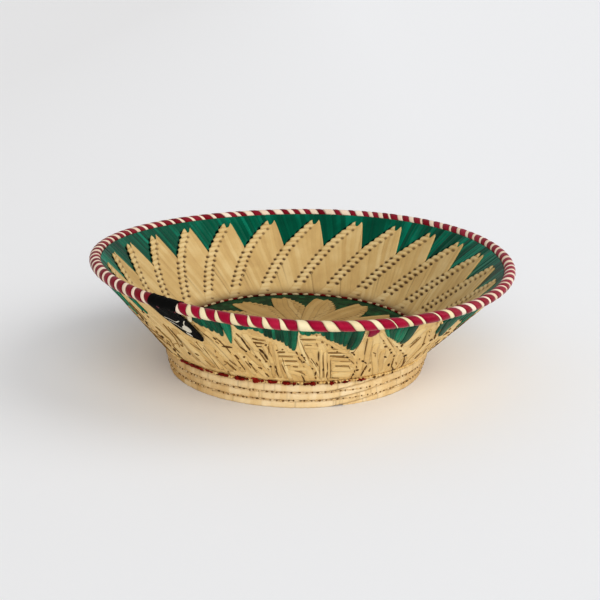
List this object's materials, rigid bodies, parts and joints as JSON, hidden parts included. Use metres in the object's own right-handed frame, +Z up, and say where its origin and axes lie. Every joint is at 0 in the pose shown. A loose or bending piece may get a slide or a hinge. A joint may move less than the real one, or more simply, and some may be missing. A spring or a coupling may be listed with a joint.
{
  "type": "coiled grass basket",
  "caption": "Shallow flared basket of coiled grass on a low coiled foot, wrapped in natural and green leaf, with a bound rim and a cloth ribbon tag.",
  "frame": {"origin": "on the table under the middle of the basket", "axes": "+Z up, -Y the side with the ribbon and the end of the foot's coil, +X to the right seen from there"},
  "size_m": [0.2985, 0.3011, 0.084],
  "materials": {
    "leaf_natural": "dry palm leaf strips, satin, straw coloured",
    "leaf_green": "dyed palm leaf strips, satin, deep green",
    "binding_crimson": "dyed leaf strips wound round the rim, satin, crimson with cream between",
    "binding_cream": "pale leaf strips, satin",
    "grass_coil": "bundled dry grass, matte",
    "seam_red": "dyed leaf strip, satin, dark red",
    "ribbon_black": "black woven ribbon, matte, plain pale stripes"
  },
  "bodies": {
    "root": {"foot_coil": "grass_coil", "foot_seam_strip": "seam_red", "floor_leaf_underside": "leaf_natural", "floor_coil": "grass_coil", "floor_centre_button": "leaf_natural", "floor_petal_01": "leaf_natural", "floor_petal_02": "leaf_natural", "floor_petal_03": "leaf_natural", "floor_petal_04": "leaf_natural", "floor_petal_05": "leaf_natural", "floor_petal_06": "leaf_natural", "floor_petal_07": "leaf_natural", "floor_petal_08": "leaf_natural", "floor_petal_09": "leaf_natural", "floor_petal_10": "leaf_natural", "floor_petal_11": "leaf_natural", "floor_petal_12": "leaf_natural", "floor_petal_13": "leaf_natural", "floor_petal_14": "leaf_natural", "floor_leaf_green": "leaf_green", "corner_cord": "seam_red", "wall_coil": "grass_coil", "wall_leaf_panel_01": "leaf_natural", "wall_leaf_panel_02": "leaf_natural", "wall_leaf_panel_03": "leaf_natural", "wall_leaf_panel_04": "leaf_natural", "wall_leaf_panel_05": "leaf_natural", "wall_leaf_panel_06": "leaf_natural", "wall_leaf_panel_07": "leaf_natural", "wall_leaf_panel_08": "leaf_natural", "wall_leaf_panel_09": "leaf_natural", "wall_leaf_panel_10": "leaf_natural", "wall_leaf_panel_11": "leaf_natural", "wall_leaf_panel_12": "leaf_natural", "wall_leaf_panel_13": "leaf_natural", "wall_leaf_panel_14": "leaf_natural", "wall_leaf_panel_15": "leaf_natural", "wall_leaf_panel_16": "leaf_natural", "wall_leaf_panel_17": "leaf_natural", "wall_leaf_panel_18": "leaf_natural", "wall_leaf_panel_19": "leaf_natural", "wall_leaf_panel_20": "leaf_natural", "wall_leaf_panel_21": "leaf_natural", "wall_leaf_panel_22": "leaf_natural", "wall_leaf_panel_23": "leaf_natural", "wall_leaf_panel_24": "leaf_natural", "wall_leaf_panel_25": "leaf_natural", "wall_leaf_green_inside": "leaf_green", "wall_leaf_natural_outside": "leaf_natural", "wall_leaf_green_outside": "leaf_green", "rim_core": "grass_coil", "rim_binding": "binding_crimson", "binding_end_crimson": "binding_crimson", "binding_end_cream_right": "binding_cream", "binding_end_cream_left": "binding_cream", "ribbon_tag": "ribbon_black"}
  },
  "joints": []
}
